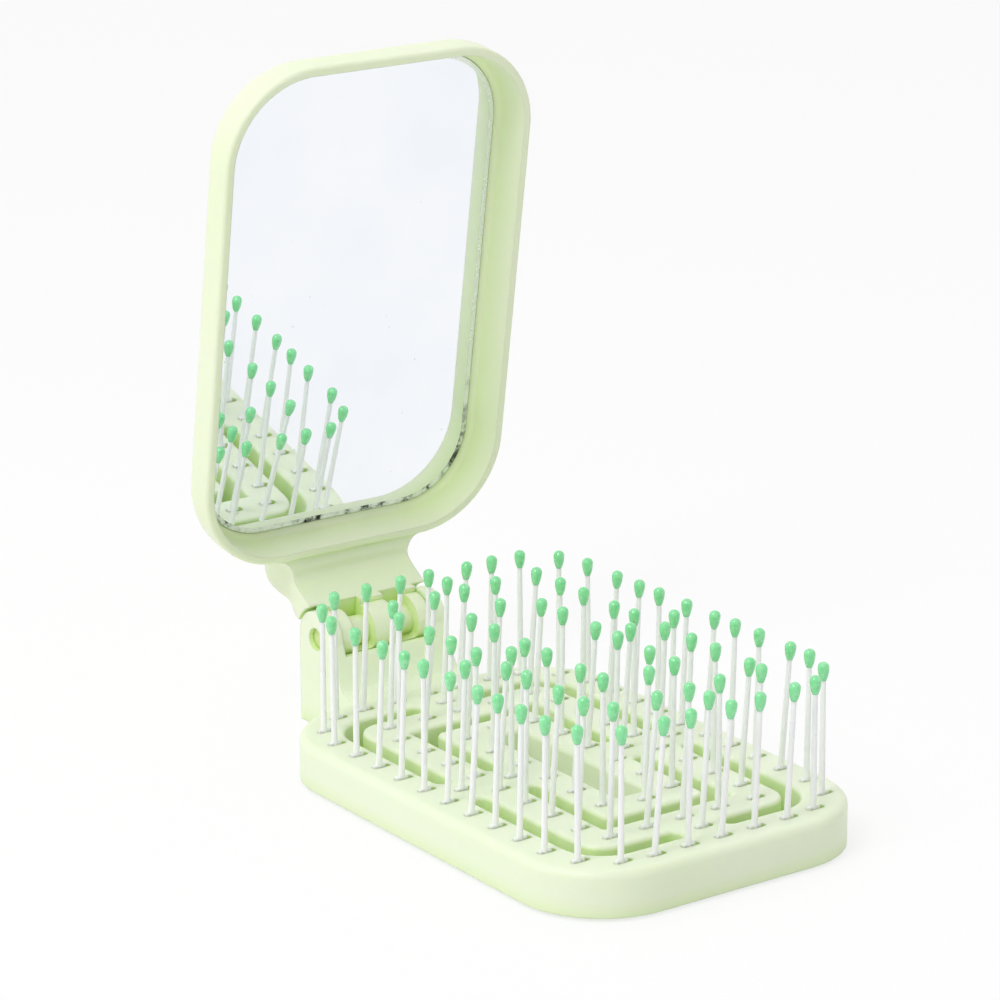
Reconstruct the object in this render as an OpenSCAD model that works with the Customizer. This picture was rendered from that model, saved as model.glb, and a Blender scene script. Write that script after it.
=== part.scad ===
// Folding hairbrush with mirror: a vented pin brush whose mirror lid folds over the pins.
// The origin is the centre of the head's underside, +Z goes up through the pins, and +Y goes
// towards the hinge, whose axis lies along X. The lid is drawn standing open at its display angle.

/* [Brush head] */
// width of the head across the hinge axis, mm
head_w = 60; // [56:0.5:68]
// length of the head from the front edge to the hinge side, mm
head_l = 88.4; // [84:0.2:104]
// thickness of the head, mm
head_h = 8; // [7.5:0.1:10]
// corner radius of the head's outline, mm
head_r = 15; // [13:0.5:17]
// radius rolled on the head's top edge, mm
edge_r = 1.3; // [0.6:0.1:1.7]
// thickness of the top skin, mm
skin_t = 2; // [1.6:0.1:2.4]
// thickness of the side wall, mm
wall_t = 1.8; // [1.4:0.1:2]
// height the side wall stands clear of the table, mm
lip_gap = 0.5; // [0.2:0.1:1]
// thickness of the back plate, mm
back_t = 1.8; // [1.4:0.1:2.4]
// gap round the back plate, mm
back_gap = 0.1; // [0.05:0.05:0.3]

/* [Vents] */
// clear width of the ring vents, mm
vent_w = 3; // [2.4:0.1:3.4]
// radius rolled on the vents' top edges, mm
roll_r = 0.75; // [0.4:0.05:0.9]
// thickness of the wall round each vent, mm
vent_wall = 1.2; // [0.8:0.1:1.3]
// distance from the outline to the middle of the outer ring vent, mm
vent_in = 9; // [8.8:0.1:9.4]
// distance from the outer ring vent to the inner one, mm
vent_step = 9.8; // [9.5:0.1:10.2]
// width of the band round the centre vent, mm
core_band = 6.7; // [6.4:0.1:7]
// half the flat width of a bridge between two vents, mm
bridge_half = 3.35; // [3.1:0.05:4.5]
// radius left in the tight corners of the inner vents, mm
tight_r = 0.45; // [0.3:0.05:0.8]

/* [Pins] */
// height of the bead tops above the head, mm
pin_h = 22.2; // [18:0.2:22.2]
// diameter of a pin at its root, mm
stem_d = 1.05; // [0.8:0.05:1.1]
// diameter of a pin inside its bead, mm
stem_top_d = 0.84; // [0.6:0.02:0.9]
// width of the blade at a pin's foot, mm
foot_w = 2.1; // [1.4:0.1:2.1]
// thickness of the blade at a pin's foot, mm
foot_t = 0.8; // [0.6:0.05:0.9]
// height of the foot above the head, mm
foot_h = 0.4; // [0.2:0.1:1]
// length of the socket that a foot stands in, mm
socket_l = 3.4; // [3:0.1:3.6]
// width of the socket, mm
socket_w = 1.2; // [1:0.05:1.3]
// distance from the pin to the middle of its socket, mm
socket_off = 0.45; // [0:0.05:0.5]
// diameter of a bead, mm
bead_d = 1.9; // [1.5:0.05:2]
// height of a bead, mm
bead_h = 3.1; // [2.6:0.1:3.8]
// angle that the pins lean along their row on average, to the front and to the right, degrees
lean_mean = 3; // [0:0.1:3.4]
// angle that single pins stray from it along their row, degrees
stray_along = 2.4; // [0:0.1:3]
// angle that single pins stray from upright across their row, degrees
stray_across = 0.6; // [0:0.1:0.8]
// distance from the outline to the outer row of pins, mm
row_in = 4.1; // [4:0.05:4.3]
// pin spacing in the outer row, mm
pitch_outer = 6.5; // [6.2:0.05:8]
// pin spacing in the middle row, mm
pitch_middle = 7.05; // [6.6:0.05:8.4]
// pin spacing in the inner row, mm
pitch_inner = 7.45; // [7:0.05:8.8]
// width of the strips that carry the pins, mm
strip_w = 3.4; // [3:0.1:3.5]
// thickness of the strips, mm
strip_t = 1.3; // [1:0.1:1.6]

/* [Hinge] */
// width of the hinge over the two ears, mm
hinge_w = 23.6; // [20:0.2:26]
// thickness of an ear, mm
ear_t = 2.5; // [2:0.1:3]
// radius of an ear about the hinge axis, mm
ear_r = 4.9; // [4.4:0.1:5]
// distance from the head's rear edge to the hinge axis, mm
axis_out = 12.3; // [12:0.1:14]
// height of the hinge axis above the head, mm
axis_up = 7.7; // [7.6:0.1:9]
// diameter of the hinge pin, mm
hinge_pin_d = 3.86; // [3:0.02:4]
// depth the hinge pin's ends are sunk below the ears' faces, mm
pin_sunk = 0.9; // [0.3:0.1:1.4]
// radius gap between the hinge pin and the ears, mm
push_gap = 0.02; // [0.01:0.01:0.05]
// radius gap between the hinge pin and the lid's barrel, mm
turn_gap = 0.05; // [0.02:0.01:0.1]
// gap between the barrel's ends and the ears, mm
side_gap = 0.15; // [0.1:0.05:0.3]

/* [Mirror lid] */
// amount the lid's outline stands outside the head's outline, mm
lid_margin = 0.3; // [0.2:0.05:0.6]
// distance from the hinge axis to the lid's lower edge, mm
lid_foot = 11.2; // [11:0.1:13]
// corner radius of the lid's outline, mm
lid_r = 16; // [14:0.5:17]
// thickness of the lid, mm
lid_t = 9; // [8.8:0.1:10]
// radius rolled on the lid's back edge, mm
lid_back_r = 5.5; // [3:0.1:5.8]
// width of the flat rim, mm
rim_w = 1.5; // [1.2:0.1:1.6]
// amount the wall inside the rim leans in, mm
rim_slope = 0.6; // [0.3:0.1:0.8]
// radius of the cove between that wall and the glass, mm
cove_r = 1; // [0.5:0.1:1.2]
// depth from the rim to the glass, mm
recess = 6.8; // [6.4:0.1:7]
// radius rolled on the rim's outer edge, mm
rim_r = 0.6; // [0.3:0.1:0.9]
// distance from the hinge axis back to the rim's plane, mm
lid_back = 8.1; // [8:0.1:9]
// angle the open lid leans forward of upright, degrees
lid_lean = 9; // [0:0.2:20]
// thickness of the glass, mm
glass_t = 0.9; // [0.7:0.1:1]
// gap round the glass, mm
glass_gap = 0.1; // [0.05:0.05:0.2]
// thickness of the adhesive pad, mm
pad_t = 0.2; // [0.1:0.05:0.3]
// distance from the glass's edge to the pad, mm
pad_in = 3; // [1:0.5:6]

/* [Hidden] */
$fn = 64;
eps = 0.01;
half_w = head_w / 2;
half_l = head_l / 2;
skin_z = head_h - skin_t;
strip_z = skin_z - strip_t;
vent_half = vent_w / 2;
vent2_in = vent_in + vent_step;
row_mid_in = vent_in + vent_step / 2;
core_in = vent2_in + vent_half + core_band;
bridge_end = bridge_half + vent_half + roll_r;
row_x = half_w - row_in;
row_y = half_l - row_in;
row_r = head_r - row_in;
mid_x = half_w - row_mid_in;
mid_y = half_l - row_mid_in;
core_x = half_w - core_in;
core_y = half_l - core_in;
inner_x = core_x + core_band / 2;
inner_y = core_y + core_band / 2;
inner_pin_off = 0.5;
bead_wall = 0.08;
vent1_x = half_w - vent_in;
vent1_y = half_l - vent_in;
vent2_x = half_w - vent2_in;
corner_a = [34, 69];
corner_split = 51.5;
split_gap = 1.5;
corner_pin_in = 1.9;
strip_gap = 0.3;
strip_play = 0.15;
bead_z = head_h + pin_h - bead_h;
bore_h = bead_h * 0.55;
rib_t = 1.2;
axis_y = half_l + axis_out;
axis_z = head_h + axis_up;
hinge_half = hinge_w / 2;
barrel_half = hinge_half - ear_t - side_gap;
barrel_in = 0.5;
hood_gap = 0.6;
barrel_r = ear_r - barrel_in;
hood_in_r = ear_r + hood_gap;
saddle_r = barrel_r + hood_gap;
hinge_pin_r = hinge_pin_d / 2;
bracket_foot = 0.6 * axis_up;
neck_flare_r = lid_foot / 4;
pocket_wall = 0.6;
pocket_w = 4.3;
pocket_x = 4.45;
pocket_r = 0.9;
lid_hx = half_w + lid_margin;
lid_hy = half_l + lid_margin;
lid_reach = lid_foot + lid_hy;
glass_in = rim_w + rim_slope + cove_r;
floor_t = lid_t - recess - glass_t - pad_t;

// ---- shared shapes ----

// flat rounded rectangle with half sizes hx and hy
module plate_2d(hx, hy, r) {
    square([2 * hx, 2 * (hy - r)], center = true);
    square([2 * (hx - r), 2 * hy], center = true);
    for (sx = [-1, 1], sy = [-1, 1])
        translate([sx * (hx - r), sy * (hy - r)])
            circle(r);
}

// slab with that outline from z0 to z1
module slab(hx, hy, r, z0, z1) {
    translate([0, 0, z0])
        linear_extrude(z1 - z0)
            plate_2d(hx, hy, r);
}

// sweep of the child profile round a rounded rectangle; its X points away from the outline
module sweep(hx, hy, r) {
    for (sx = [-1, 1])
        translate([sx * hx, sx * (hy - r), 0])
            rotate([90, 0, sx > 0 ? 0 : 180])
                linear_extrude(2 * (hy - r))
                    children();
    for (sy = [-1, 1])
        translate([-sy * (hx - r), sy * hy, 0])
            rotate([90, 0, sy * 90])
                linear_extrude(2 * (hx - r))
                    children();
    for (k = [0:3])
        translate([(k == 0 || k == 3 ? 1 : -1) * (hx - r), (k < 2 ? 1 : -1) * (hy - r), 0])
            rotate([0, 0, 90 * k])
                rotate_extrude(angle = 90)
                    translate([r, 0])
                        children();
}

// quarter disc of radius r whose corner is at the origin, in the first quadrant
module quarter(r) {
    intersection() {
        circle(r);
        square(r);
    }
}

// hollow side of a rolled edge: what the roll leaves open beside a wall
module roll_open(r) {
    difference() {
        square([r, r + eps]);
        translate([r, 0])
            circle(r);
    }
}

// points of a smooth curve from a to d that leaves towards b and arrives from c
function curve(a, b, c, d) =
    [for (k = [0:8])
        let (t = k / 8, u = 1 - t)
        u * u * u * a + 3 * u * u * t * b + 3 * u * t * t * c + t * t * t * d];

// ---- vents ----

// vent outline, flat, grown by g all round
module ring_vent_2d(inset, r_out, r_in, g, across) {
    hx = half_w - inset;
    hy = half_l - inset;
    difference() {
        plate_2d(hx + vent_half + g, hy + vent_half + g, r_out + g);
        plate_2d(hx - vent_half - g, hy - vent_half - g, max(r_in - g, eps));
        square([2 * head_w, 2 * bridge_end], center = true);
        if (across)
            square([2 * bridge_end, 2 * head_l], center = true);
    }
    for (sx = [-1, 1], sy = [-1, 1]) {
        translate([sx * hx, sy * bridge_end])
            circle(vent_half + g);
        if (across)
            translate([sx * bridge_end, sy * hy])
                circle(vent_half + g);
    }
}

module vents_2d(g) {
    ring_vent_2d(vent_in, head_r - vent_in + vent_half, head_r - vent_in - vent_half, g, true);
    ring_vent_2d(vent2_in, tight_r, vent_half, g, false);
    plate_2d(core_x + g, core_y + g, tight_r + g);
}

// widening of a ring vent towards its rolled top edges
module ring_flare(inset, r_out, r_in, across) {
    hx = half_w - inset;
    hy = half_l - inset;
    roll_z = head_h - roll_r;
    difference() {
        union() {
            translate([0, 0, roll_z])
                sweep(hx + vent_half, hy + vent_half, r_out)
                    roll_open(roll_r);
            translate([0, 0, roll_z])
                sweep(hx - vent_half - roll_r, hy - vent_half - roll_r, r_in - roll_r)
                    translate([roll_r, 0])
                        mirror([1, 0])
                            roll_open(roll_r);
        }
        cube([2 * head_w, 2 * bridge_end, 4 * head_h], center = true);
        if (across)
            cube([2 * bridge_end, 2 * head_l, 4 * head_h], center = true);
    }
    for (sx = [-1, 1], sy = [-1, 1]) {
        translate([sx * hx, sy * bridge_end, roll_z])
            rotate_extrude()
                translate([vent_half, 0])
                    roll_open(roll_r);
        if (across)
            translate([sx * bridge_end, sy * hy, roll_z])
                rotate_extrude()
                    translate([vent_half, 0])
                        roll_open(roll_r);
    }
}

module vent_flares() {
    ring_flare(vent_in, head_r - vent_in + vent_half, head_r - vent_in - vent_half, true);
    ring_flare(vent2_in, tight_r, vent_half, false);
    translate([0, 0, head_h - roll_r])
        sweep(core_x, core_y, tight_r)
            roll_open(roll_r);
}

// ---- pin layout: [x, y] of each pin on the right, front or inner right strip ----

function even_row(reach, pitch) =
    let (n = max(1, floor(reach / pitch + 0.5)))
    [for (k = [-n:n - 1]) (k + 0.5) * pitch];

function odd_row(reach, pitch) =
    let (n = max(1, floor(reach / pitch)))
    [for (k = [-n:n]) k * pitch];

function corner_pin(a) = [half_w - head_r + row_r * cos(a), half_l - head_r + row_r * sin(a)];

function outer_side_pins() = concat(
    [for (y = even_row(half_l - head_r + strip_gap, pitch_outer)) [row_x, y]],
    [for (s = [-1, 1]) [corner_pin(corner_a[0])[0], s * corner_pin(corner_a[0])[1]]]);

function outer_front_pins() = concat(
    [for (x = odd_row(half_w - head_r, pitch_outer)) [x, -row_y]],
    [for (s = [-1, 1]) [s * corner_pin(corner_a[1])[0], -corner_pin(corner_a[1])[1]]]);

function middle_side_pins() = concat(
    [for (y = even_row(mid_y - strip_w / 2 - foot_w - corner_pin_in + strip_gap, pitch_middle)) [mid_x, y]],
    [[vent1_x, 0], [vent2_x, 0]]);

function middle_front_pins() = concat(
    [for (x = odd_row(mid_x - strip_w - corner_pin_in, pitch_middle)) [x, -mid_y]],
    [for (s = [-1, 1]) [s * (mid_x - corner_pin_in), -mid_y]],
    [[0, -vent1_y]]);

function inner_side_pins() = concat(
    [for (y = even_row(inner_y - strip_w / 2, pitch_inner)) [inner_x + inner_pin_off, y]],
    [[0, inner_y]]);

function turned(pts, sx, sy) = [for (p = pts) [sx * p[0], sy * p[1]]];

all_pins = concat(
    outer_side_pins(), turned(outer_side_pins(), -1, 1),
    outer_front_pins(), turned(outer_front_pins(), 1, -1),
    middle_side_pins(), turned(middle_side_pins(), -1, 1),
    middle_front_pins(), turned(middle_front_pins(), 1, -1),
    inner_side_pins(), turned(inner_side_pins(), -1, -1));

// turn of the row at p: 0 along a side, 90 across the head, and between them round a corner
function row_turn(p) =
    let (u = abs(p[0]) - half_w + head_r, v = abs(p[1]) - half_l + head_r)
    u > 0 && v > 0 ? atan2(v, u) : half_l - abs(p[1]) < half_w - abs(p[0]) ? 90 : 0;

// smooth wave between -1 and 1 that differs from pin to pin
function wander(p, a, b) = sin(head_r * (a * p[0] + b * p[1]) / head_w);

// small lean of the pin at p, larger along its row; corner pins only stray across
module strayed(p) {
    turn = row_turn(p);
    in_corner = turn > 0 && turn < 90;
    along = in_corner ? 0 : lean_mean + stray_along * wander(p, 548, 284);
    across = stray_across * wander(p, 388, -212);
    translate([p[0], p[1], head_h])
        rotate([0, 0, turn])
            rotate([along, across, 0])
                translate([0, 0, -head_h])
                    children();
}

module pin(p) {
    root_z = strip_z + strip_t / 2;
    stem_z = head_h - foot_h;
    translate([p[0] - foot_w / 2, p[1] - foot_t / 2, root_z])
        cube([foot_w, foot_t, head_h + foot_h - root_z]);
    strayed(p) {
        translate([0, 0, stem_z])
            cylinder(h = bead_z - stem_z, d1 = stem_d, d2 = stem_top_d);
        translate([0, 0, bead_z - eps])
            cylinder(h = bore_h + eps, d = stem_top_d);
    }
}

// drop-shaped bead: a half ball on a flank that bulges a little and narrows to the stem
module bead(p) {
    bead_r = bead_d / 2;
    ball_z = bead_h - bead_r;
    narrowing = bead_r - stem_top_d / 2 - bead_wall;
    flank_r = (ball_z * ball_z + narrowing * narrowing) / (2 * narrowing);
    flank = [for (k = [0:4])
        let (up = ball_z * k / 4)
        [bead_r - flank_r + sqrt(flank_r * flank_r - (ball_z - up) * (ball_z - up)), up]];
    strayed(p)
        translate([0, 0, bead_z])
            rotate_extrude()
                difference() {
                    union() {
                        translate([0, ball_z])
                            quarter(bead_r);
                        polygon(concat([[0, 0]], flank, [[0, ball_z]]));
                    }
                    translate([0, -1])
                        square([stem_top_d / 2 + eps, bore_h + 1 + eps]);
                }
}

module pins(pts) {
    for (p = pts)
        pin(p);
}

module beads(pts) {
    color("mediumseagreen")
        for (p = pts)
            bead(p);
}

// ---- strips that carry the pins ----

// flat bar of a strip between two corners
module bar_2d(x0, x1, y0, y1) {
    translate([x0, y0])
        square([x1 - x0, y1 - y0]);
}

// flat bent bar that follows the outline's corner from angle a0 to a1
module corner_bar_2d(a0, a1) {
    far = 2 * head_r;
    translate([half_w - head_r, half_l - head_r])
        intersection() {
            difference() {
                circle(row_r + strip_w / 2);
                circle(row_r - strip_w / 2);
            }
            polygon([
                [0, 0],
                [far * cos(a0), far * sin(a0)],
                [far * cos(a1), far * sin(a1)]]);
        }
}

module strip(pts) {
    color("white") {
        translate([0, 0, strip_z])
            linear_extrude(strip_t)
                children();
        pins(pts);
    }
}

module outer_side_strip(sx) {
    strip(turned(outer_side_pins(), sx, 1))
        mirror([sx < 0 ? 1 : 0, 0]) {
            bar_2d(row_x - strip_w / 2, row_x + strip_w / 2, head_r - half_l, half_l - head_r);
            for (m = [0, 1])
                mirror([0, m])
                    corner_bar_2d(0, corner_split - split_gap);
        }
}

module outer_front_strip(sy) {
    strip(turned(outer_front_pins(), 1, -sy))
        mirror([0, sy < 0 ? 1 : 0]) {
            bar_2d(head_r - half_w, half_w - head_r, row_y - strip_w / 2, row_y + strip_w / 2);
            for (m = [0, 1])
                mirror([m, 0])
                    corner_bar_2d(corner_split + split_gap, 90);
        }
}

module middle_side_strip(sx) {
    reach = mid_y - strip_w / 2 - 2 * strip_gap;
    strip(turned(middle_side_pins(), sx, 1))
        mirror([sx < 0 ? 1 : 0, 0]) {
            bar_2d(mid_x - strip_w / 2, mid_x + strip_w / 2, -reach, reach);
            bar_2d(vent2_x - foot_w * 0.65, vent1_x + foot_w * 0.65, -strip_w / 2, strip_w / 2);
        }
}

// room inside the wall of the outer ring vent
module inside_vent_2d() {
    in = vent_half + vent_wall + strip_play;
    plate_2d(vent1_x - in, vent1_y - in, head_r - vent_in - in);
}

module middle_front_strip(sy) {
    strip(turned(middle_front_pins(), 1, -sy))
        mirror([0, sy < 0 ? 1 : 0]) {
            intersection() {
                bar_2d(-mid_x - strip_w / 2, mid_x + strip_w / 2, mid_y - strip_w / 2, mid_y + strip_w / 2);
                inside_vent_2d();
            }
            bar_2d(-strip_w / 2, strip_w / 2, mid_y, vent1_y + strip_w * 0.4);
        }
}

module inner_strip(s) {
    near = inner_y - strip_w / 2 - strip_gap;
    strip(turned(inner_side_pins(), s, s))
        rotate([0, 0, s > 0 ? 0 : 180]) {
            bar_2d(inner_x - strip_w / 2, inner_x + strip_w / 2, -near, inner_y + strip_w / 2);
            bar_2d(strip_w / 2 + strip_gap - inner_x, inner_x, inner_y - strip_w / 2, inner_y + strip_w / 2);
        }
}

module pin_strip_outer_left() outer_side_strip(-1);
module pin_strip_outer_right() outer_side_strip(1);
module pin_strip_outer_front() outer_front_strip(-1);
module pin_strip_outer_rear() outer_front_strip(1);
module pin_strip_middle_left() middle_side_strip(-1);
module pin_strip_middle_right() middle_side_strip(1);
module pin_strip_middle_front() middle_front_strip(-1);
module pin_strip_middle_rear() middle_front_strip(1);
module pin_strip_inner_left() inner_strip(-1);
module pin_strip_inner_right() inner_strip(1);

module pin_tips_outer_left() beads(turned(outer_side_pins(), -1, 1));
module pin_tips_outer_right() beads(outer_side_pins());
module pin_tips_outer_front() beads(outer_front_pins());
module pin_tips_outer_rear() beads(turned(outer_front_pins(), 1, -1));
module pin_tips_middle_left() beads(turned(middle_side_pins(), -1, 1));
module pin_tips_middle_right() beads(middle_side_pins());
module pin_tips_middle_front() beads(middle_front_pins());
module pin_tips_middle_rear() beads(turned(middle_front_pins(), 1, -1));
module pin_tips_inner_left() beads(turned(inner_side_pins(), -1, -1));
module pin_tips_inner_right() beads(inner_side_pins());

// ---- head ----

module socket_2d() {
    side = socket_l / 2 - socket_w / 2;
    square([2 * side, socket_w], center = true);
    for (s = [-1, 1])
        translate([s * side, 0])
            circle(socket_w / 2, $fn = 24);
}

module head_edge() {
    translate([-wall_t, lip_gap])
        square([wall_t, head_h - lip_gap - edge_r]);
    translate([-wall_t, head_h - edge_r - eps])
        square([wall_t - edge_r, edge_r + eps]);
    translate([-edge_r, head_h - edge_r])
        quarter(edge_r);
}

// side view of the bracket: Y runs along X here and Z along Y
module bracket_2d() {
    rear = axis_y + ear_r;
    front = axis_y - ear_r;
    translate([axis_y, axis_z])
        circle(ear_r);
    polygon(concat(
        [[half_l - wall_t / 2, 0],
        [rear, 0],
        [rear, axis_z]],
        curve(
            [front, axis_z],
            [front - 0.43 * bracket_foot, head_h + 0.36 * axis_up],
            [front - 0.57 * bracket_foot, head_h],
            [front - bracket_foot, head_h]),
        [[half_l - wall_t / 2, head_h - edge_r / 2]]));
}

module bracket() {
    web_z = head_h + axis_up * 0.72;
    inner_half = hinge_half - ear_t;
    core_z = head_h - skin_t;
    difference() {
        translate([-hinge_half, 0, 0])
            rotate([90, 0, 90])
                linear_extrude(hinge_w)
                    bracket_2d();
        translate([-inner_half, axis_y, axis_z])
            rotate([0, 90, 0])
                cylinder(h = 2 * inner_half, r = saddle_r);
        translate([-inner_half, half_l, web_z])
            cube([2 * inner_half, axis_out + 2 * ear_r, 2 * axis_up]);
        translate([-hinge_half - 1, axis_y, axis_z])
            rotate([0, 90, 0])
                cylinder(h = hinge_w + 2, r = hinge_pin_r + push_gap);
        translate([-inner_half, half_l + wall_t, -1])
            cube([2 * inner_half, axis_out + ear_r - 2 * wall_t, core_z + 1]);
    }
}

module brush_shell() {
    color("palegreen") {
        difference() {
            union() {
                sweep(half_w, half_l, head_r)
                    head_edge();
                slab(half_w - wall_t, half_l - wall_t, head_r - wall_t, skin_z, head_h);
                translate([0, 0, back_t])
                    linear_extrude(skin_z - back_t + eps)
                        vents_2d(vent_wall);
                bracket();
            }
            translate([0, 0, -1])
                linear_extrude(head_h + 2)
                    vents_2d(0);
            vent_flares();
            translate([0, 0, strip_z])
                linear_extrude(head_h)
                    for (p = all_pins)
                        translate([p[0] + socket_off, p[1]])
                            socket_2d();
        }
    }
}

module back_plate() {
    inset = wall_t + back_gap;
    color("palegreen")
        difference() {
            union() {
                slab(half_w - inset, half_l - inset, head_r - inset, 0, back_t);
                translate([0, 0, back_t - eps])
                    linear_extrude(strip_z - back_t + eps)
                        clamp_ribs_2d();
            }
            translate([0, 0, -1])
                linear_extrude(back_t + 1 + eps)
                    vents_2d(0);
        }
}

module rib_ring_2d(hx, hy, r) {
    difference() {
        plate_2d(hx + rib_t / 2, hy + rib_t / 2, r + rib_t / 2);
        plate_2d(hx - rib_t / 2, hy - rib_t / 2, r - rib_t / 2);
    }
}

// ribs that press the strips up against the skin
module clamp_ribs_2d() {
    rib_ring_2d(row_x, row_y, row_r);
    rib_ring_2d(mid_x, mid_y, rib_t);
    rib_ring_2d(inner_x, inner_y, rib_t);
}

module hinge_pin() {
    length = hinge_w - 2 * pin_sunk;
    color("darkseagreen")
        translate([-length / 2, axis_y, axis_z])
            rotate([0, 90, 0])
                cylinder(h = length, r = hinge_pin_r);
}

// ---- mirror lid, drawn with its hinge axis on X, its length along +Y and its front up ----

module placed_lid() {
    translate([0, axis_y, axis_z])
        rotate([90 + lid_lean, 0, 0])
            children();
}

// section of the lid's border; X points outwards from the outline and Y up from the rim
module lid_edge() {
    side = lid_t - lid_back_r;
    deep = lid_back_r + 1;
    difference() {
        union() {
            translate([-deep, -side])
                square([deep, side - rim_r]);
            translate([-deep, -rim_r - eps])
                square([deep - rim_r, rim_r + eps]);
            translate([-rim_r, -rim_r])
                quarter(rim_r);
            translate([-deep, -lid_t])
                square([deep - lid_back_r + eps, lid_back_r + eps]);
            translate([-lid_back_r, -side])
                mirror([0, 1])
                    quarter(lid_back_r);
        }
        polygon(concat(
            [[-rim_w, eps]],
            curve(
                [-rim_w - rim_slope, cove_r - recess],
                [-rim_w - rim_slope - cove_r / 8, (cove_r - recess) - cove_r / 2],
                [-glass_in + cove_r / 2, -recess],
                [-glass_in, -recess]),
            [[-glass_in, floor_t - lid_t],
            [-deep - 1, floor_t - lid_t],
            [-deep - 1, eps]]));
    }
}

// side view of the neck and hood: the lid's Y runs along X here and its Z along Y
module neck_2d() {
    root_y = lid_foot + rim_w / 2;
    front_z = -lid_back;
    rear_z = -lid_back - lid_t;
    r = hood_in_r;
    difference() {
        polygon(concat(
            curve(
                [root_y, front_z - rim_r],
                [0.97 * lid_foot, front_z - rim_r],
                [0.9 * lid_foot, front_z],
                [0.8 * lid_foot, front_z]),
            curve(
                [0.79 * lid_foot, front_z],
                [0.66 * lid_foot, front_z],
                [1.25 * r, -1.15 * r],
                [0.98 * r, -0.54 * r]),
            [[0.94 * r, -0.45 * r],
            [0.15 * r, -0.45 * r],
            [0.26 * r, -1.05 * r]],
            curve(
                [0.31 * r, -1.18 * r],
                [0.4 * r, -1.32 * r],
                [0.64 * r, -1.4 * r],
                [0.67 * r, -1.65 * r]),
            curve(
                [0.67 * r, rear_z + lid_back_r],
                [0.68 * r, rear_z + lid_back_r / 4],
                [0.9 * r, rear_z],
                [0.73 * lid_foot, rear_z]),
            [[root_y + lid_back_r, rear_z],
            [root_y + lid_back_r, rear_z + floor_t],
            [root_y, rear_z + floor_t]]));
        circle(r);
    }
}

// front view of the neck, flared where it meets the lid
module neck_front_2d() {
    r = neck_flare_r;
    difference() {
        translate([-hinge_half - r, -1])
            square([hinge_w + 2 * r, lid_foot + rim_w + lid_back_r]);
        for (s = [-1, 1])
            translate([s * (hinge_half + r), 0]) {
                translate([0, lid_foot - r])
                    circle(r);
                translate([-r, -2])
                    square([2 * r, lid_foot - r + 2]);
            }
    }
}

module neck() {
    reach = hinge_half + neck_flare_r;
    intersection() {
        translate([-reach, 0, 0])
            rotate([90, 0, 90])
                linear_extrude(2 * reach)
                    neck_2d();
        translate([0, 0, -lid_back - lid_t - 1])
            linear_extrude(lid_back + lid_t + 1)
                neck_front_2d();
    }
}

// barrel between the ears, joined up to the hood, with two pockets cored from the front
module barrel() {
    join_y = hood_in_r * 0.4;
    pocket_y = -barrel_r * 0.4;
    difference() {
        union() {
            translate([-barrel_half, 0, 0])
                rotate([0, 90, 0])
                    cylinder(h = 2 * barrel_half, r = barrel_r);
            translate([-barrel_half, join_y, -hood_in_r * 1.05])
                cube([2 * barrel_half, hood_in_r * 0.94 - join_y, hood_in_r * 0.85]);
        }
        translate([-barrel_half - 1, 0, 0])
            rotate([0, 90, 0])
                cylinder(h = 2 * barrel_half + 2, r = hinge_pin_r + turn_gap);
        difference() {
            for (s = [-1, 1])
                translate([s * pocket_x, pocket_y + hood_in_r, -hinge_pin_r - pocket_wall])
                    linear_extrude(2 * barrel_r)
                        plate_2d(pocket_w / 2, hood_in_r, pocket_r);
            translate([-barrel_half, 0, 0])
                rotate([0, 90, 0])
                    cylinder(h = 2 * barrel_half, r = hinge_pin_r + turn_gap + pocket_wall);
        }
    }
}

module mirror_frame() {
    color("palegreen")
        placed_lid() {
            translate([0, lid_reach, -lid_back]) {
                sweep(lid_hx, lid_hy, lid_r)
                    lid_edge();
                slab(lid_hx - lid_back_r - 1, lid_hy - lid_back_r - 1, lid_r - lid_back_r - 1,
                    -lid_t, floor_t - lid_t);
            }
            neck();
            barrel();
        }
}

module mirror_glass() {
    inset = glass_in + glass_gap;
    color("lightgray")
        placed_lid()
            translate([0, lid_reach, -lid_back])
                slab(lid_hx - inset, lid_hy - inset, lid_r - inset, -recess - glass_t, -recess);
}

module adhesive_pad() {
    inset = glass_in + glass_gap + pad_in;
    color("white")
        placed_lid()
            translate([0, lid_reach, -lid_back])
                slab(lid_hx - inset, lid_hy - inset, lid_r - inset,
                    -recess - glass_t - pad_t, -recess - glass_t);
}

brush_shell();
back_plate();
pin_strip_outer_left();
pin_strip_outer_right();
pin_strip_outer_front();
pin_strip_outer_rear();
pin_strip_middle_left();
pin_strip_middle_right();
pin_strip_middle_front();
pin_strip_middle_rear();
pin_strip_inner_left();
pin_strip_inner_right();
pin_tips_outer_left();
pin_tips_outer_right();
pin_tips_outer_front();
pin_tips_outer_rear();
pin_tips_middle_left();
pin_tips_middle_right();
pin_tips_middle_front();
pin_tips_middle_rear();
pin_tips_inner_left();
pin_tips_inner_right();
hinge_pin();
mirror_frame();
mirror_glass();
adhesive_pad();
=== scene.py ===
import bpy
import math
from mathutils import Matrix, Vector


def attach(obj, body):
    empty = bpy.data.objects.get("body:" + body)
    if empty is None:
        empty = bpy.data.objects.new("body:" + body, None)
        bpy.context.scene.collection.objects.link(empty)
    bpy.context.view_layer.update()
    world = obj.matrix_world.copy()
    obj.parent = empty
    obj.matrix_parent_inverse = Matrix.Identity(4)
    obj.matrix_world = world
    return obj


# ---- camera: viewing angle, place and lens fitted to the photograph ----

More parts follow.
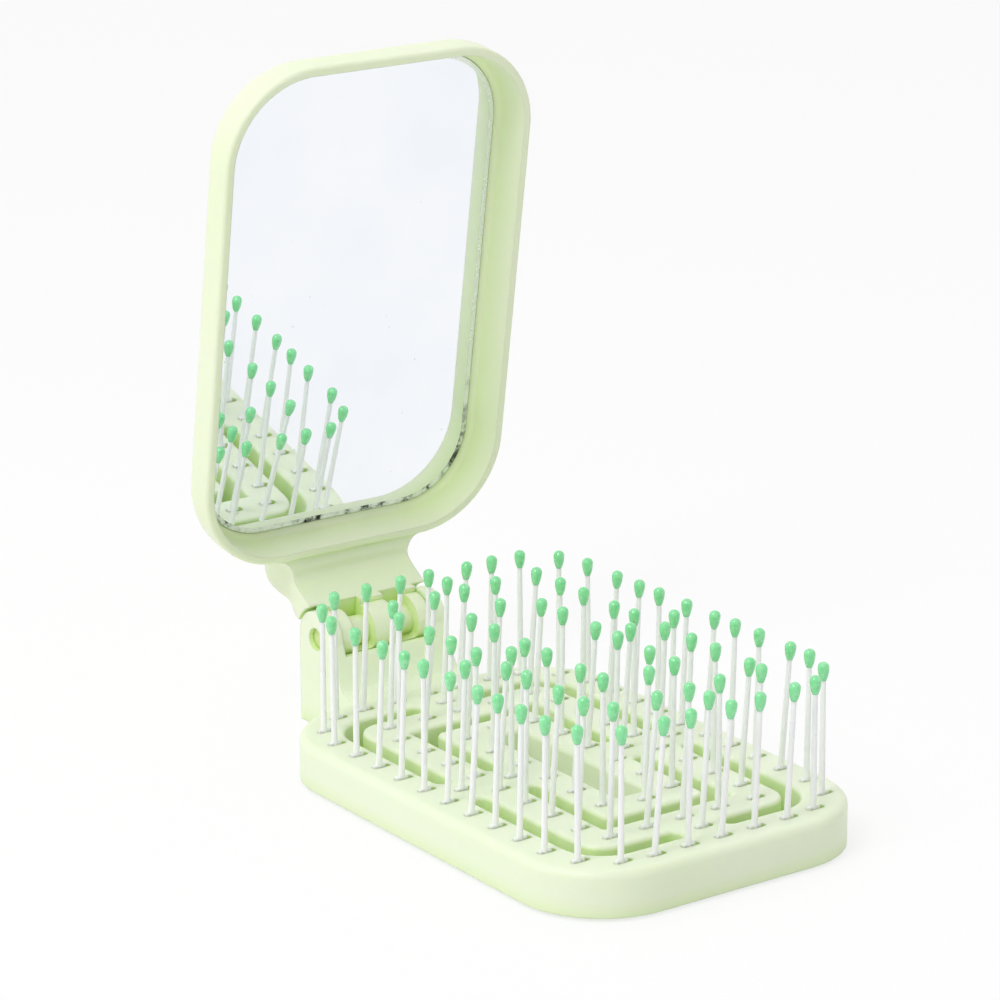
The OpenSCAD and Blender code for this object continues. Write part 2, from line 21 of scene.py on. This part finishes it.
CAM_AZIMUTH = math.radians(-35.322)
CAM_ELEVATION = math.radians(17.105)
CAM_ROLL = math.radians(-0.349)
CAM_PLACE = Vector((-0.37425, -0.50965, 0.2470))
CAM_LENS = 149.957
SENSOR_WIDTH = 36
CLIP_NEAR = 0.01
CLIP_FAR = 20


def add_camera():
    data = bpy.data.cameras.new("camera")
    data.sensor_width = SENSOR_WIDTH
    data.lens = CAM_LENS
    data.clip_start = CLIP_NEAR
    data.clip_end = CLIP_FAR
    camera = bpy.data.objects.new("camera", data)
    bpy.context.scene.collection.objects.link(camera)
    bpy.context.scene.camera = camera
    sin_az, cos_az = math.sin(CAM_AZIMUTH), math.cos(CAM_AZIMUTH)
    cos_el = math.cos(CAM_ELEVATION)
    back = Vector((sin_az * cos_el, -cos_az * cos_el, math.sin(CAM_ELEVATION)))
    right = Vector((cos_az, sin_az, 0))
    up = back.cross(right)
    side = math.cos(CAM_ROLL) * right + math.sin(CAM_ROLL) * up
    top = -math.sin(CAM_ROLL) * right + math.cos(CAM_ROLL) * up
    turn = Matrix((side, top, back)).transposed().to_4x4()
    camera.matrix_world = Matrix.Translation(CAM_PLACE) @ turn


add_camera()
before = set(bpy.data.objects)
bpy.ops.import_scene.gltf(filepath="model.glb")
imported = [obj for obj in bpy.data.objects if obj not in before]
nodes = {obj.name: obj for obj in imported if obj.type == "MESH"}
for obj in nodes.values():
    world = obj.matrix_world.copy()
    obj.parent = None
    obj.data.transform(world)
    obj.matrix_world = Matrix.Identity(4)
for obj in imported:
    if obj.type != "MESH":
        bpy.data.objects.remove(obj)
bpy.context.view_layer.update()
scene = bpy.context.scene
scene.view_settings.view_transform = "Standard"


# ---- material helpers ----

def srgb(r, g, b):
    """An 8-bit screen colour as scene-linear RGBA."""
    def linear(c):
        c /= 255
        return c / 12.92 if c <= 0.04045 else ((c + 0.055) / 1.055) ** 2.4
    return (linear(r), linear(g), linear(b), 1)


def grey(v):
    return (v, v, v, 1)


# a colour Mix node's factor, A and B inputs, and its colour output
MIX_INPUTS = (0, 6, 7)
MIX_RESULT = 2
# the range that most of a noise's values lie in
NOISE_LOW = 0.3
NOISE_HIGH = 0.7


class Tree:
    """The nodes of a material or world under construction. Sockets go by name or by index."""

    def __init__(self, owner, output="ShaderNodeOutputMaterial"):
        self.owner = owner
        owner.use_nodes = True
        self.nodes = owner.node_tree.nodes
        self.links = owner.node_tree.links
        self.nodes.clear()
        self.out = self.nodes.new(output)

    def new(self, kind, sockets=None, **settings):
        node = self.nodes.new(kind)
        for key, value in settings.items():
            setattr(node, key, value)
        for key, value in (sockets or {}).items():
            node.inputs[key].default_value = value
        return node

    def link(self, source, output, target, socket):
        self.links.new(source.outputs[output], target.inputs[socket])

    def ramp(self, source, output, stops):
        node = self.nodes.new("ShaderNodeValToRGB")
        elements = node.color_ramp.elements
        while len(elements) < len(stops):
            elements.new(0.5)
        for element, (place, colour) in zip(elements, stops):
            element.position = place
            element.color = colour
        self.link(source, output, node, "Fac")
        return node

    def spread(self, noise, low, high):
        """One colour to another over the range that most of the noise's values lie in."""
        return self.ramp(noise, "Fac", [(NOISE_LOW, low), (NOISE_HIGH, high)])

    def noise(self, coords, scale, detail=2.0, roughness=0.5):
        sockets = {"Scale": scale, "Detail": detail, "Roughness": roughness}
        node = self.new("ShaderNodeTexNoise", sockets)
        self.link(coords, "Object", node, "Vector")
        return node

    def mix(self, factor, a, b, blend="MIX"):
        """Colour mix; each argument is a (node, output) pair or a plain value."""
        node = self.new("ShaderNodeMix", data_type="RGBA", blend_type=blend)
        for socket, value in zip(MIX_INPUTS, (factor, a, b)):
            if isinstance(value, tuple) and isinstance(value[0], bpy.types.Node):
                self.links.new(value[0].outputs[value[1]], node.inputs[socket])
            else:
                node.inputs[socket].default_value = value
        return node

    def seen(self):
        """1 for what the camera or a reflection sees, 0 for the light that falls on things."""
        path = self.new("ShaderNodeLightPath")
        either = self.new("ShaderNodeMath", operation="MAXIMUM")
        self.link(path, "Is Camera Ray", either, 0)
        self.link(path, "Is Glossy Ray", either, 1)
        return either

    def blend(self, share, a, b):
        """Shader a where share is 0 and shader b where it is 1."""
        node = self.new("ShaderNodeMixShader")
        for socket, source in enumerate((share, a, b)):
            self.link(source, 0, node, socket)
        return node

    def done(self, shader):
        self.link(shader, 0, self.out, "Surface")
        return self.owner


def new_material(name):
    return Tree(bpy.data.materials.new(name))


# ---- materials ----

EDGE_SOFTNESS = 0.0004
# how open a place is to its surroundings where the painted hollow shade is full, and where it is gone
OPENNESS_DEEP = 0.12
OPENNESS_FREE = 0.85
SHEEN_BELOW = 0.04
SHEEN_ABOVE = 0.08


def moulded(name, light, flow, painted_hollow_shade, rough, hollow_reach):
    """Translucent moulded plastic: faint flow marks, painted shade (a deeper, more saturated colour
    painted into its hollows for the light that dims and bounces there), a fine moulded skin and
    slightly soft edges."""
    t = new_material(name)
    shader = t.new("ShaderNodeBsdfPrincipled", {
        "Subsurface Weight": 0.3, "Subsurface Radius": (0.75, 1.0, 0.42),
        "Subsurface Scale": 0.0022, "IOR": 1.46})
    coords = t.new("ShaderNodeTexCoord")
    clouds = t.noise(coords, scale=38.0, detail=3.0)
    tint = t.spread(clouds, flow, light)
    # painted shade: an AO node finds the hollows, and the deeper colour is mixed into the base colour
    # there
    hollow = t.new("ShaderNodeAmbientOcclusion", {"Distance": hollow_reach}, samples=8)
    painted_shade_share = t.ramp(hollow, "AO", [(OPENNESS_DEEP, grey(1)), (OPENNESS_FREE, grey(0))])
    colour = t.mix((painted_shade_share, "Color"), (tint, "Color"), painted_hollow_shade)
    t.link(colour, MIX_RESULT, shader, "Base Color")
    skin = t.noise(coords, scale=900.0, detail=4.0, roughness=0.6)
    sheen = t.spread(skin, grey(rough - SHEEN_BELOW), grey(rough + SHEEN_ABOVE))
    t.link(sheen, "Color", shader, "Roughness")
    soft = t.new("ShaderNodeBevel", {"Radius": EDGE_SOFTNESS}, samples=4)
    bump = t.new("ShaderNodeBump", {"Strength": 0.05, "Distance": 0.0001})
    t.link(skin, "Fac", bump, "Height")
    t.link(soft, "Normal", bump, "Normal")
    t.link(bump, "Normal", shader, "Normal")
    return t.done(shader)


def nylon(name):
    """White nylon, smooth and waxy: light soaks into the thin stems and comes out all round."""
    t = new_material(name)
    shader = t.new("ShaderNodeBsdfPrincipled", {
        "Subsurface Weight": 0.5, "Subsurface Radius": (0.95, 0.97, 1.0), "Subsurface Scale": 0.0008,
        "IOR": 1.5})
    coords = t.new("ShaderNodeTexCoord")
    clouds = t.noise(coords, scale=120.0)
    tint = t.spread(clouds, srgb(249, 250, 253), srgb(254, 254, 255))
    t.link(tint, "Color", shader, "Base Color")
    sheen = t.spread(clouds, grey(0.26), grey(0.36))
    t.link(sheen, "Color", shader, "Roughness")
    return t.done(shader)


def bead_green(name):
    """Glossy dipped bead: green lacquer with faint paler swirls under a clear coat."""
    t = new_material(name)
    shader = t.new("ShaderNodeBsdfPrincipled", {
        "Subsurface Weight": 0.35, "Subsurface Radius": (0.5, 1.0, 0.6), "Subsurface Scale": 0.0008,
        "Coat Weight": 1.0, "Coat Roughness": 0.08, "IOR": 1.5})
    coords = t.new("ShaderNodeTexCoord")
    swirl = t.noise(coords, scale=1100.0, detail=3.0, roughness=0.6)
    tint = t.ramp(swirl, "Fac", [
        (0.3, srgb(124, 226, 152)), (0.6, srgb(146, 236, 170)), (0.8, srgb(186, 244, 202))])
    t.link(tint, "Color", shader, "Base Color")
    sheen = t.spread(swirl, grey(0.12), grey(0.2))
    t.link(sheen, "Color", shader, "Roughness")
    return t.done(shader)


# noise values between which a speck of dust begins and is full
DUST_BEGINS = 0.79
DUST_FULL = 0.82


def mirror_silver(name):
    """Silvered mirror with a trace of haze and a few tiny specks of dust."""
    t = new_material(name)
    shader = t.new("ShaderNodeBsdfPrincipled", {"Metallic": 1.0})
    coords = t.new("ShaderNodeTexCoord")
    haze = t.noise(coords, scale=60.0)
    film = t.spread(haze, srgb(243, 246, 251), srgb(248, 250, 253))
    dust = t.noise(coords, scale=700.0, detail=1.0)
    specks = t.ramp(dust, "Fac", [(DUST_BEGINS, grey(1)), (DUST_FULL, grey(0.85))])
    colour = t.mix(1.0, (film, "Color"), (specks, "Color"), "MULTIPLY")
    t.link(colour, MIX_RESULT, shader, "Base Color")
    sheen = t.ramp(dust, "Fac", [(DUST_BEGINS, grey(0.01)), (DUST_FULL, grey(0.3))])
    t.link(sheen, "Color", shader, "Roughness")
    return t.done(shader)


# noise values of a dark mark's black core and of the bare silver past its rim
MARK_CORE = 0.4
MARK_RIM = 0.5
# heights between which the dark marks fade out
MARKS_FULL_Z = 0.038
MARKS_END_Z = 0.06


def marked_silver_edge(name):
    """Ground edge of the mirror: silver painted near-white and only partly metallic so that it shows
    as a bright line, a painted highlight, with dark marks and streaks towards its foot.
    """
    t = new_material(name)
    shader = t.new("ShaderNodeBsdfPrincipled", {"Metallic": 0.3})
    coords = t.new("ShaderNodeTexCoord")
    mark_noise = t.noise(coords, scale=260.0, detail=5.0, roughness=0.75)
    marks = t.ramp(mark_noise, "Fac", [
        (MARK_CORE, srgb(30, 32, 30)), (0.45, srgb(130, 136, 130)),
        (MARK_RIM, srgb(232, 238, 234)), (0.6, srgb(252, 254, 254))])
    split = t.new("ShaderNodeSeparateXYZ")
    t.link(coords, "Object", split, 0)
    foot = t.new("ShaderNodeMapRange", {"From Min": MARKS_END_Z, "From Max": MARKS_FULL_Z})
    t.link(split, "Z", foot, "Value")
    # painted highlight: the edge's base is near-white, with the dark marks mixed in only towards its
    # foot
    colour = t.mix((foot, "Result"), srgb(244, 248, 246), (marks, "Color"))
    t.link(colour, MIX_RESULT, shader, "Base Color")
    sheen = t.ramp(mark_noise, "Fac", [(MARK_CORE, grey(0.5)), (MARK_RIM, grey(0.2))])
    t.link(sheen, "Color", shader, "Roughness")
    bump = t.new("ShaderNodeBump", {"Strength": 0.4, "Distance": 0.0002})
    t.link(mark_noise, "Fac", bump, "Height")
    t.link(bump, "Normal", shader, "Normal")
    return t.done(shader)


# how far each plastic looks for the walls of a hollow to paint its shade in: across a vent, and up
# the lid's tray
VENT_REACH = 0.005
TRAY_REACH = 0.012

# the fourth colour of each plastic is the painted shade of its hollows
PALE = moulded(
    "pale_green", srgb(242, 252, 224), srgb(238, 251, 218), srgb(218, 248, 160), 0.34, VENT_REACH)
LID = moulded(
    "pale_green_lid", srgb(240, 250, 220), srgb(238, 249, 214), srgb(216, 242, 146), 0.34, TRAY_REACH)
HINGE = moulded(
    "hinge_green", srgb(224, 240, 176), srgb(218, 236, 166), srgb(206, 230, 130), 0.3, VENT_REACH)
NYLON = nylon("white_nylon")
BEAD = bead_green("bead_green")
SILVER = mirror_silver("mirror_silver")
MARKED_EDGE = marked_silver_edge("marked_silver_edge")

FINISH = {
    "brush_shell": PALE, "back_plate": PALE, "mirror_frame": LID, "hinge_pin": HINGE,
    "mirror_glass": SILVER, "adhesive_pad": NYLON, "pin_strip": NYLON, "pin_tips": BEAD}


def dress_nodes():
    """Gives each solid the finish whose key starts its name."""
    for name, node in nodes.items():
        material = next(m for start, m in FINISH.items() if name.startswith(start))
        node.data.materials.clear()
        node.data.materials.append(material)


dress_nodes()


# ---- pieces ----

LID_LEAN = math.radians(9)
GLASS_CORNER = 0.0128
EDGE_WIDTH = 0.0009
# height of the bevel's crest and of its two sides over the glass
EDGE_RISE = 0.00004
EDGE_FOOT = EDGE_RISE / 4
ARC_STEPS = 16
# directions up the lid and out of its mirror
ALONG = Vector((0, -math.sin(LID_LEAN), math.cos(LID_LEAN)))
FRONT = Vector((0, -math.cos(LID_LEAN), -math.sin(LID_LEAN)))


def rounded_loop(half_x, half_y, radius):
    """Points round a rounded rectangle, counter-clockwise."""
    points = []
    for corner in range(4):
        cx = (1 if corner in (0, 3) else -1) * (half_x - radius)
        cy = (1 if corner < 2 else -1) * (half_y - radius)
        for step in range(ARC_STEPS + 1):
            a = math.radians(90) * (corner + step / ARC_STEPS)
            points.append((cx + radius * math.cos(a), cy + radius * math.sin(a)))
    return points


def mirror_edge():
    """The glass's ground and silvered edge: a narrow bevel that runs round the mirror."""
    verts = [v.co for v in nodes["mirror_glass"].data.vertices]
    half_x = max(v.x for v in verts)
    low = min(v.dot(ALONG) for v in verts)
    high = max(v.dot(ALONG) for v in verts)
    face = max(v.dot(FRONT) for v in verts)
    middle, half_y = (low + high) / 2, (high - low) / 2
    rings = ((0, EDGE_FOOT), (EDGE_WIDTH / 2, EDGE_RISE), (EDGE_WIDTH, EDGE_FOOT))
    points = []
    for inset, rise in rings:
        for x, y in rounded_loop(half_x - inset, half_y - inset, GLASS_CORNER - inset):
            points.append(Vector((x, 0, 0)) + (middle + y) * ALONG + (face + rise) * FRONT)
    count = len(points) // len(rings)
    faces = []
    for ring in range(len(rings) - 1):
        for k in range(count):
            a, b = ring * count + k, ring * count + (k + 1) % count
            faces.append((a, b, b + count, a + count))
    mesh = bpy.data.meshes.new("mirror_edge")
    mesh.from_pydata(points, [], faces)
    mesh.materials.append(MARKED_EDGE)
    for polygon in mesh.polygons:
        polygon.use_smooth = True
    piece = bpy.data.objects.new("mirror_edge", mesh)
    scene.collection.objects.link(piece)
    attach(piece, "lid")


mirror_edge()


# ---- floor and light ----

FLOOR_HALF = 6.0
FLOOR_GAP = 0.00002
WHITE_SHARE = 0.75


def add_floor():
    """Pale table. Seen by the camera or in the mirror it is lifted towards white, shadow and all."""
    t = new_material("table_white")
    matte = t.new("ShaderNodeBsdfPrincipled", {
        "Base Color": grey(0.97), "Roughness": 0.6, "Specular IOR Level": 0.2})
    white = t.new("ShaderNodeEmission", {"Color": grey(1), "Strength": 1.0})
    share = t.new("ShaderNodeMath", {1: WHITE_SHARE}, operation="MULTIPLY")
    t.link(t.seen(), 0, share, 0)
    both = t.blend(share, matte, white)
    half = FLOOR_HALF
    corners = [(-half, -half, 0), (half, -half, 0), (half, half, 0), (-half, half, 0)]
    mesh = bpy.data.meshes.new("floor")
    mesh.from_pydata(corners, [], [(0, 1, 2, 3)])
    mesh.materials.append(t.done(both))
    floor = bpy.data.objects.new("floor", mesh)
    floor.location = (0, 0, -FLOOR_GAP)
    scene.collection.objects.link(floor)


DOME_LOW = 0.74
DOME_HIGH = 1.24
DOME_FRONT_DIM = 0.48
# Y of the direction that light comes from, where the dimming starts and where it is full
DIM_STARTS_Y = 0.2
DIM_FULL_Y = -1


def add_world():
    """White to the camera and in reflections. The light itself comes from a dome that is brighter
    overhead and dimmer in front of the brush."""
    t = Tree(bpy.data.worlds.new("world"), "ShaderNodeOutputWorld")
    scene.world = t.owner
    coords = t.new("ShaderNodeTexCoord")
    split = t.new("ShaderNodeSeparateXYZ")
    t.link(coords, "Generated", split, 0)
    height = t.new("ShaderNodeMapRange", {"To Min": DOME_LOW, "To Max": DOME_HIGH})
    t.link(split, "Z", height, "Value")
    front = t.new("ShaderNodeMapRange", {
        "From Min": DIM_STARTS_Y, "From Max": DIM_FULL_Y, "To Min": 0, "To Max": DOME_FRONT_DIM})
    t.link(split, "Y", front, "Value")
    strength = t.new("ShaderNodeMath", operation="SUBTRACT")
    t.link(height, 0, strength, 0)
    t.link(front, 0, strength, 1)
    dome = t.new("ShaderNodeBackground")
    t.link(strength, 0, dome, "Strength")
    white = t.new("ShaderNodeBackground", {"Color": grey(1)})
    t.done(t.blend(t.seen(), dome, white))


KEY_PLACE = Vector((-0.62, -0.12, 0.85))
KEY_AIM = Vector((0, 0, 0.04))
KEY_SIZE = 0.4
KEY_POWER = 3.6


def add_key_light():
    """Soft light from above on the left, which gives the brush its modelling and its shadow."""
    data = bpy.data.lights.new("key", "AREA")
    data.shape = "SQUARE"
    data.size = KEY_SIZE
    data.energy = KEY_POWER
    lamp = bpy.data.objects.new("key", data)
    lamp.location = KEY_PLACE
    lamp.rotation_mode = "QUATERNION"
    lamp.rotation_quaternion = (KEY_AIM - KEY_PLACE).to_track_quat("-Z", "Y")
    scene.collection.objects.link(lamp)


add_floor()
add_world()
add_key_light()
